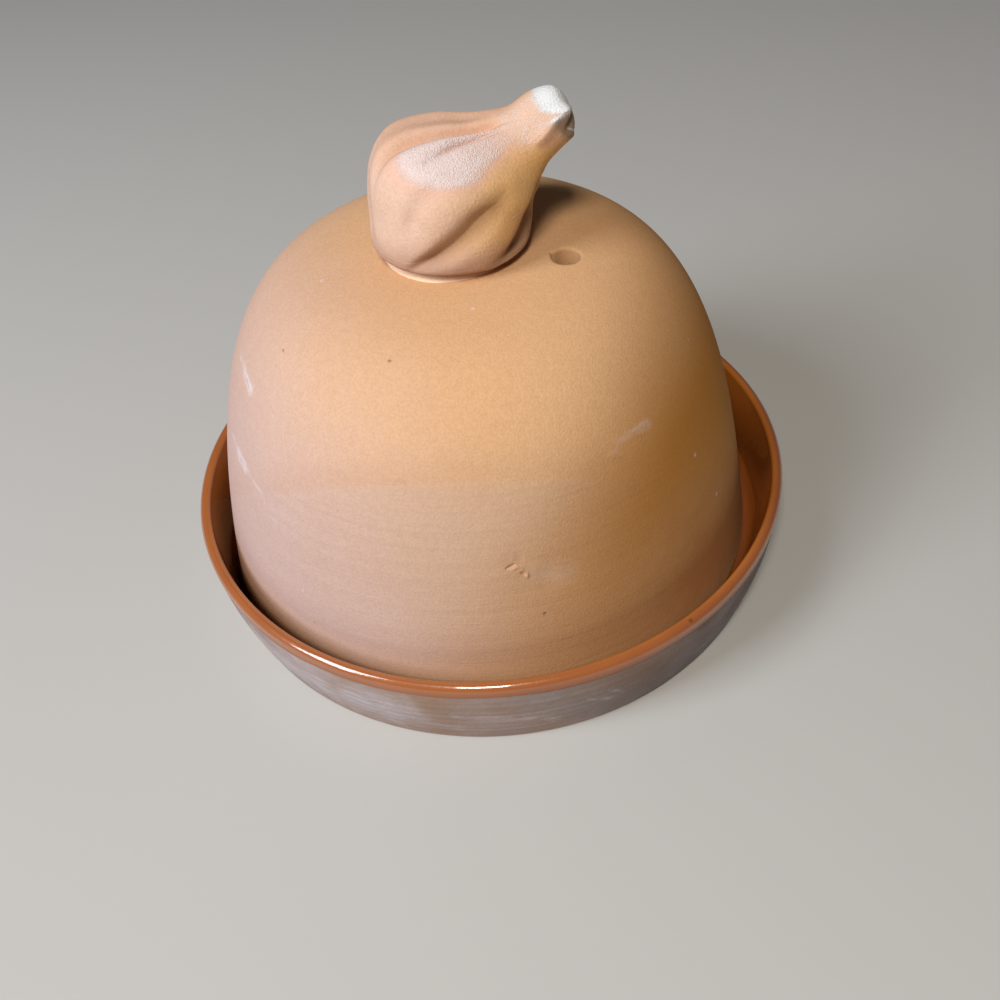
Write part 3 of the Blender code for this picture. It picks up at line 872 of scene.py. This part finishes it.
def lidLine(radius, height, count):
    # half outline from the crown to the foot: a superellipse that leans in
    angles = np.radians(np.linspace(lidSize["crownStart"], 0.0, 1200))
    rise = np.sin(angles) ** (2 / lidSize["wallPower"])
    share = np.cos(angles) ** (2 / lidSize["crownPower"])
    reach = (radius - leanIn(rise)) * share
    line = np.stack((reach, lidSize["base"] + height * rise), axis=1).tolist()
    return evenly([(0.0, lidSize["base"] + height)] + line, count)


def lidHeightAt(reach, radius, height):
    # height of that outline at a distance from the lid's axis
    rise = 1.0
    for _ in range(12):
        share = min(reach / (radius - leanIn(rise)), 1.0)
        rise = (1 - share ** lidSize["crownPower"]) ** (1 / lidSize["wallPower"])
    return lidSize["base"] + height * rise


def surfacePoint(x, y, inside):
    inset = lidSize["wall"] if inside else 0.0
    reach = math.hypot(x - lidAxis[0], y - lidAxis[1])
    return Vector((x, y, lidHeightAt(reach, lidRadius - inset, lidSize["height"] - inset)))


def ventRadius(turn):
    # pierced by hand: nearly round, with a nick where the tool came out
    away = (turn - math.radians(ventSize["nickTurn"]) + math.pi) % math.tau - math.pi
    return (ventSize["radius"] * (1 + 0.02 * math.sin(2 * turn + 0.5) + 0.012 * math.sin(5 * turn))
            + ventSize["nick"] * math.exp(-(away / 0.14) ** 2))


def pierceVent(mesh):
    # cuts both faces of the crown round the vent and joins them by the hole's wall
    form = bmesh.new()
    form.from_mesh(mesh)
    middle = (lidTop + surfacePoint(*ventCentre, True).z) / 2 - 1 * mm
    rings = []
    for inside in (False, True):
        near = []
        for face in form.faces:
            place = face.calc_center_median()
            away = math.hypot(place.x - ventCentre[0], place.y - ventCentre[1])
            if away < ventSize["cutOut"] and place.z > lidTop / 2 and (place.z < middle) == inside:
                near.append(face)
        bmesh.ops.delete(form, geom=near, context="FACES")
        rim = [edge for edge in form.edges
               if len(edge.link_faces) == 1 and (edge.verts[0].co.z < middle) == inside]
        loops = []
        for out, down in ventSize["lip"]:
            loop = []
            for i in range(ventSize["steps"]):
                turn = math.tau * i / ventSize["steps"]
                place = surfacePoint(*beside(ventCentre, polar(ventRadius(turn) + out * mm, turn)), inside)
                place.z += down * mm if inside else -down * mm
                loop.append(form.verts.new(place))
            loops.append(loop)
        fresh = [form.edges.new((loops[0][i - 1], loops[0][i])) for i in range(ventSize["steps"])]
        bmesh.ops.triangle_fill(form, use_beauty=True, edges=rim + fresh)
        rings.append(loops)
    outer, inner = rings
    wall = []
    for share in np.linspace(0, 1, ventSize["wallRows"])[1:-1]:
        wall.append([form.verts.new(a.co.lerp(b.co, share)) for a, b in zip(outer[-1], inner[-1])])
    ladder = outer + wall + inner[::-1]
    for first, second in zip(ladder, ladder[1:]):
        for i in range(ventSize["steps"]):
            form.faces.new((first[i - 1], first[i], second[i], second[i - 1]))
    finishForm(form, mesh)


# a nick where something stuck to the wet clay, with the clay that it pushed up and a shallow thumb mark
# from and to (x, z) on the front, half width and depth (a minus raises), all mm
lidDent = (
    ((1.4, 49.0), (3.0, 49.6), 0.27, 0.60),
    ((2.7, 48.5), (3.6, 49.0), 0.30, -0.18),
    ((3.6, 49.0), (4.6, 48.4), 0.30, -0.18),
    ((4.6, 48.4), (4.9, 47.8), 0.26, -0.16),
    ((4.5, 47.4), (5.0, 46.8), 0.32, 0.40),
    ((5.6, 47.0), (5.75, 46.0), 0.34, -0.32),
    ((2.8, 51.2), (5.6, 50.6), 2.2, 0.26),
    ((7.5, 45.5), (13.0, 45.0), 4.2, 0.30),
)
dentCentre = Vector((4.0 * mm, -64.6 * mm, 48.0 * mm))
dentRounds = ((13 * mm, 1), (5.2 * mm, 3))  # the faces within a radius are cut, first wide and then close


def refineRound(mesh, centre, rounds):
    # more faces round a small mark, so that it can be modelled
    form = bmesh.new()
    form.from_mesh(mesh)
    for radius, cuts in rounds:
        before = set(form.verts)
        edges = {edge for face in form.faces if (face.calc_center_median() - centre).length < radius
                 for edge in face.edges}
        bmesh.ops.subdivide_edges(form, edges=list(edges), cuts=cuts, use_grid_fill=True)
        fresh = [vert for vert in form.verts if vert not in before]
        for _ in range(4):
            bmesh.ops.smooth_vert(form, verts=fresh, factor=0.5,
                                  use_axis_x=True, use_axis_y=True, use_axis_z=True)
    finishForm(form, mesh)


def markLid(mesh):
    refineRound(mesh, dentCentre, dentRounds)
    places = points(mesh)
    normals = np.empty(places.size)
    mesh.vertices.foreach_get("normal", normals)
    normals = normals.reshape(-1, 3)
    flat = places[:, (0, 2)] / mm
    cut = np.zeros(len(places))
    for start, end, half, depth in lidDent:
        start, end = np.array(start), np.array(end)
        length = np.linalg.norm(end - start)
        run = (end - start) / length
        along = np.clip((flat - start) @ run, 0.0, length)
        away = np.linalg.norm(flat - start - along[:, None] * run, axis=1)
        fade = 0.55 + 0.45 * np.sin(math.pi * along / length)
        cut += depth * mm * fade * np.exp(-((away / half) ** 2))
    outside = (normals[:, 1] < -0.5) & (places[:, 1] < -40 * mm)
    setPoints(mesh, places - normals * (outside * cut)[:, None])


def makeLid():
    wall, rounded = lidSize["wall"], lidSize["footRound"]
    outer = lidLine(lidRadius, lidSize["height"], 150)
    inner = lidLine(lidRadius - wall, lidSize["height"] - wall, 56)
    base = lidSize["base"]
    outer = [place for place in outer if place[1] > base + 1.2 * rounded]
    inner = [place for place in inner if place[1] > base + 1.5 * rounded]
    foot = arc((lidRadius - rounded, base + rounded), rounded, 0, -90, 10)
    foot += arc((lidRadius - wall + rounded, base + rounded), rounded, -90, -180, 10)
    line = outer + foot + inner[::-1]
    marks = np.zeros(len(line))
    marks[:len(outer)] = ease(60, 100, np.arange(len(outer)))
    marks[-len(inner):] = 3.0
    lid = throwPot("lidShell", line, marks, lidMaterial, lidSize["throwing"], lidAxis)
    pierceVent(lid.data)
    markLid(lid.data)
    return lid


lid = makeLid()
print("lid thrown and pierced")

bulb, neck = knobSize["bulbRadius"], knobSize["neckRadius"]

# the knob's sections: centre (x, z) in bulb radii, tilt in degrees and half width
knobStations = (
    (0.03, 0.00, 1, knobSize["footRadius"]),
    (0.06, 0.10, 4, 0.965 * bulb),
    (0.10, 0.43, 11, 1.00 * bulb),
    (0.15, 0.76, 18, 1.00 * bulb),
    (0.30, 0.98, 24, 0.94 * bulb),
    (0.58, 1.12, 29, 0.72 * bulb),
    (0.87, 1.18, 34, 0.50 * bulb),
    (1.10, 1.25, 40, 1.06 * neck),
    (1.31, 1.39, 48, 0.96 * neck),
    (1.52, 1.46, 76, knobSize["tipRadius"]),
)
# grooves between the cloves: angle at start, halfway and end, depth mm, half width in degrees,
# tilt from and to, over how much tilt it comes and goes, sharpness, how much painted shade darkens its bottom
knobGrooves = (
    (347, 340, 335, 2.1, 7, 13, 41, 14, 8, 0.2, 0.3),
    (309, 320, 320, 1.7, 5, 25, 40, 5, 9, 0.5, 0.25),
    (286, 288, 290, 0.6, 9, 10, 26, 5, 5, 0.0, 0.2),
    (255, 236, 256, 2.8, 12, 2.5, 30, 5, 11, 0.2, 0.5),
    (196, 189, 206, 2.3, 9, 3, 31, 5, 6, 0.3, 1.0),
    (160, 162, 163, 1.6, 11, 0, 31, 5, 6, 0.2, 0.8),
    (124, 127, 130, 2.1, 13, 0, 35, 5, 6, 0.3, 0.7),
    (86, 89, 92, 1.5, 9, 4, 42, 5, 6, 0.4, 0.7),
    (46, 48, 50, 2.1, 12, 2, 40, 5, 6, 0.3, 0.7),
    (16, 10, 6, 0.9, 16, 4, 38, 5, 6, 0.0, 0.2),
    (269, 287, 291, -0.9, 12, 38, 90, 5, 5, 0.2, 0.0),
)


def stationsBetween(count):
    # Catmull-Rom curve through the stations
    stations = np.array(knobStations) * (bulb, bulb, 1.0, 1.0)
    place = np.linspace(0.0, len(stations) - 1, count)
    index = np.minimum(place.astype(int), len(stations) - 2)
    share = (place - index)[:, None]
    a, b, c, d = (stations[np.clip(index + k, 0, len(stations) - 1)] for k in (-1, 0, 1, 2))
    return 0.5 * (2 * b + (c - a) * share + (2 * a - 5 * b + 4 * c - d) * share ** 2
                  + (3 * b - a - 3 * c + d) * share ** 3)


def fromAngle(angle, zero):
    # degrees round from a given angle, between -180 and 180
    return (angle - zero + 180) % 360 - 180


def grooveCuts(angle, tilt):
    cut = np.zeros(np.broadcast(angle, tilt).shape)
    creaseShade = cut.copy()
    for first, middle, last, depth, half, start, end, comes, goes, sharp, dark in knobGrooves:
        share = np.clip((tilt - start) / (end - start), 0.0, 1.0)
        centre = (first * (1 - share) * (1 - 2 * share) + 4 * middle * share * (1 - share)
                  + last * share * (2 * share - 1))
        away = fromAngle(angle, centre)
        runs = ease(start, start + comes, tilt) * (1 - ease(end - goes, end, tilt))
        valley = (1 - sharp) * np.exp(-((away / half) ** 2)) + sharp * np.exp(-np.abs(away) / (0.45 * half))
        cut += depth * mm * runs * valley
        # painted shade along the groove's bottom
        creaseShade += dark * np.clip(depth * runs * valley / 1.5, 0.0, 1.0)
    return cut, creaseShade


def knobForm():
    # rows of points up the bulb, each row's points on the lines that run between the cloves
    stations = stationsBetween((len(knobStations) - 1) * knobSize["rowsPerStation"] + 1)
    centreX, centreZ, tilt, half = (stations[:, k, None] for k in range(4))
    angle = knobTurns[None, :]
    root = math.radians(knobSize["rootAngle"])
    offset = knobSize["rootSpread"] * np.maximum(0.0, 1 - tilt / knobSize["rootFade"])
    reach = np.sqrt(1 - (offset * np.sin(angle - root)) ** 2) - offset * np.cos(angle - root)
    across = half * (offset * math.cos(root) + reach * np.cos(angle))
    side = half * (offset * math.sin(root) + reach * np.sin(angle))
    lean = np.radians(tilt)
    form = np.stack((centreX - across * np.cos(lean), side, centreZ + across * np.sin(lean)), axis=2)
    full = ease(0.0, knobSize["rootBlur"], reach)
    cut, creaseShade = (values * full for values in grooveCuts(np.degrees(angle), tilt))
    around = np.roll(form, -1, axis=1) - np.roll(form, 1, axis=1)
    up = np.gradient(form, axis=0)
    normal = np.cross(around, up)
    normal /= np.linalg.norm(normal, axis=2, keepdims=True)
    return form + normal * cut[:, :, None], cut, creaseShade, np.degrees(angle) + 0 * tilt, tilt + 0 * angle


def roundTip(form):
    # a notch across the tip, below its middle, and the upper leaf rounded back
    lean = math.radians(knobStations[-1][2])
    push = np.array((math.sin(lean), 0.0, math.cos(lean)))
    high, far = np.cos(knobTurns), np.sin(knobTurns)
    notch = knobSize["tipNotch"] * np.exp(-(((high - knobSize["notchHeight"]) / knobSize["notchWidth"]) ** 2))
    rounded = ease(0.25, 1.0, high) + ease(0.1, 0.9, far) * ease(-0.2, 0.3, high)
    pull = notch + knobSize["tipRound"] * rounded
    rows, pinched = knobSize["rowsPerStation"], knobSize["pinchRows"]
    for back in range(rows):
        form[-1 - back] -= push * (pull * (1 - back / rows) ** 1.3)[:, None]
    for back in range(pinched):
        row = form[-1 - back]
        row += (row.mean(axis=0) - row) * knobSize["pinch"] * (1 - back / pinched) ** 2
    edge, middle = form[-1], form[-1].mean(axis=0)
    cap = [edge + (middle - edge) * inward + push * out * mm for inward, out in knobSize["tipCap"]]
    return np.concatenate((form, cap)), middle + push * knobSize["tipCap"][-1][1] * mm


def lumpAt(place, waves):
    # how high the clay stands at a place, in mm, from waves: how fine and how high each is
    return sum(noise.noise(place * scale) * height for scale, height in waves)


def makeKnob():
    form, cut, creaseShade, angle, tilt = knobForm()
    form, tipCentre = roundTip(form)
    rows, steps = form.shape[:2]
    places = form.reshape(-1, 3)
    lumps = np.array([lumpAt(Vector(place), knobSize["lumps"]) for place in places]) * mm
    outward = places - np.array(knobSize["middle"]) * bulb
    outward /= np.linalg.norm(outward, axis=1, keepdims=True)
    places = places + outward * lumps[:, None]
    places = np.concatenate((places, (tipCentre, form[0].mean(axis=0))))
    places += np.array((*knobAxis, knobSize["base"]))
    faces = gridFaces(rows, steps)
    last = (rows - 1) * steps
    for k in range(steps):
        n = (k + 1) % steps
        faces += [(last + k, last + n, rows * steps), (n, k, rows * steps + 1)]
    extra = rows - cut.shape[0]
    covers = {"chalk": chalkCover(angle, tilt) * (1 - 0.4 * ease(0.5 * mm, 1.5 * mm, cut)),
              "halo": haloCover(angle, tilt), "dipped": dippedCover(angle, tilt),
              "ridgeShadeMask": grimyCover(angle, tilt)}
    padded = {label: np.pad(values, ((0, extra), (0, 0)), mode="edge") for label, values in covers.items()}
    upper = ease(0.0, 0.5, np.cos(knobTurns))
    padded["dipped"][rows - extra:] *= 0.1 + 0.9 * upper  # the cut end is bare on its lower half
    padded["paintedCreaseShade"] = np.pad(np.clip(creaseShade, 0.0, 1.0), ((0, extra), (0, 0)))
    stored = {label: (*values.ravel(), values[-1].mean(), 0.0) for label, values in padded.items()}
    return closedPiece("knobBulb", places.tolist(), faces, knobMaterial, stored)


def frontClove(angle, tilt, margin):
    # 1 on the powdered part of the front clove, widened by a margin in degrees
    lowest = 21.6 + 3.4 * ((308 - angle) / 33) ** 2 - 0.3 * margin
    leftmost = 271 + 1.75 * np.maximum(tilt - 27, 0.0) - margin
    return (ease(lowest - 1.0, lowest + 2.8, tilt) * ease(leftmost - 7, leftmost + 12, angle)
            * (1 - ease(326 + margin, 341 + margin, angle)))


def chalkCover(angle, tilt):
    # white powder on the front clove, and thinner up the neck and over the top clove
    clove = frontClove(angle, tilt, 0.0) * (1 - 0.45 * ease(29, 37, tilt))
    neck = 0.55 * ease(33, 40, tilt) * (1 - ease(30, 62, np.abs(fromAngle(angle, 318))))
    top = 0.22 * ease(22, 30, tilt) * (1 - ease(20, 45, np.abs(fromAngle(angle, 365))))
    return np.clip(np.maximum(np.maximum(clove, neck), top), 0.0, 1.0)


def haloCover(angle, tilt):
    # the pink edge where the powder runs out
    return frontClove(angle, tilt, 6.0) * (1 - ease(34, 40, tilt))


def dippedCover(angle, tilt):
    # thick white on the tip's upper leaf, a streak along the ridge below it and a little on the lower leaf
    around = fromAngle(angle, 345)
    start = 51 + 0.035 * np.maximum(0.0, np.abs(around) - 36) ** 2
    upper = ease(start - 7, start + 6, tilt) * (1 - ease(56, 66, np.abs(around)))
    ridge = 0.8 * ease(42, 54, tilt) * np.exp(-(((around + 61) / 3.5) ** 2))
    lower = 0.55 * ease(71, 76, tilt)
    return np.maximum(np.maximum(upper, ridge), lower)


def grimyCover(angle, tilt):
    # painted shade: the tip's lower leaf, darkened where it lies under the ridge
    return ease(42, 56, tilt) * ease(190, 220, angle) * (1 - ease(276, 287, angle))


slipSize = {
    "shift": (0.6 * mm, -0.75 * mm),
    "radius": 15.0 * mm,
    "innerRadius": 11.0 * mm,
    "waves": ((1.5, 0.3), (5.0, 0.12)),  # of its outer edge: how fine, and mm high
    "steps": 220,
    "top": 91.75 * mm,
    # section of the bead: share of the way from its inner to its outer radius, share of its height
    "section": ((0.0, 1.0), (0.4, 1.0), (0.65, 0.97), (0.80, 0.86), (0.90, 0.66), (0.96, 0.44), (1.0, 0.22),
                (1.03, 0.08), (1.06, 0.0), (1.08, -0.06)),
    "sunk": 0.1 * mm,  # its inner foot, in the crown
}


def makeSlip():
    # a bead of slip pressed out round the knob's foot and wiped onto the crown
    centre = beside(knobAxis, slipSize["shift"])
    inner = slipSize["innerRadius"]
    places = []
    for i in range(slipSize["steps"]):
        turn = math.tau * i / slipSize["steps"]
        way = Vector((*polar(1.0, turn), 0.0))
        width = slipSize["radius"] + lumpAt(way, slipSize["waves"]) * mm - inner
        for share, rise in slipSize["section"]:
            x, y = beside(centre, way * (inner + width * share))
            ground = surfacePoint(x, y, False).z
            places.append((x, y, ground + (slipSize["top"] - ground) * rise))
        x, y = beside(centre, way * inner)
        places.append((x, y, surfacePoint(x, y, False).z - slipSize["sunk"]))
    faces = gridFaces(slipSize["steps"], len(slipSize["section"]) + 1, True)
    return closedPiece("slipBead", places, faces, slipMaterial, {})


knob = makeKnob()
slip = makeSlip()
print("knob sculpted and luted on")

for piece, node, body, slot in (
        (saucer, "saucer", "saucer_body", "saucer_clay"),
        (glaze, "saucer_glaze", "saucer_body", "amber_glaze"),
        (lid, "lid_dome", "lid_body", "terracotta"),
        (slip, "knob_slip_joint", "lid_body", "pale_slip"),
        (knob, "garlic_knob", "lid_body", "knob_clay")):
    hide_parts(node)
    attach(piece, body)

room = {
    "floorColour": (0.52, 0.52, 0.515),
    "floorSize": 6.0,
    "worldColour": (1.0, 0.96, 0.92, 1.0),
    "worldStrength": 0.05,
    "aim": (0.0, 0.0, 0.05),  # what the lamps face
}


def makeFloor(look):
    mesh = bpy.data.meshes.new("floor")
    half = look["floorSize"] / 2
    corners = [(-half, -half, 0), (half, -half, 0), (half, half, 0), (-half, half, 0)]
    mesh.from_pydata(corners, [], [(0, 1, 2, 3)])
    mesh.materials.append(openMaterial("paleFloor", look["floorColour"], 0.7)[0])
    addObject("floor", mesh)


lamps = (  # name, place, width and height, power, colour
    ("left", (-0.90, -0.44, 0.80), (0.45, 0.65), 11.6, (0.89, 0.93, 1.0)),
    ("front", (-0.15, -0.69, 1.03), (0.26, 0.26), 9.4, (1.0, 0.91, 0.78)),
)


def makeLamps():
    for name, place, size, power, colour in lamps:
        lamp = bpy.data.lights.new(name, "AREA")
        lamp.shape = "RECTANGLE"
        lamp.size, lamp.size_y = size
        lamp.energy = power
        lamp.color = colour
        holder = addObject(name, lamp)
        holder.location = place
        holder.rotation_euler = (Vector(place) - Vector(room["aim"])).to_track_quat("Z", "Y").to_euler()
    world = bpy.data.worlds.new("studio")
    world.use_nodes = True
    background = world.node_tree.nodes["Background"]
    background.inputs["Color"].default_value = room["worldColour"]
    background.inputs["Strength"].default_value = room["worldStrength"]
    bpy.context.scene.world = world


makeFloor(room)
makeLamps()
bpy.context.scene.view_settings.view_transform = "Standard"
print("floor and lamps set")
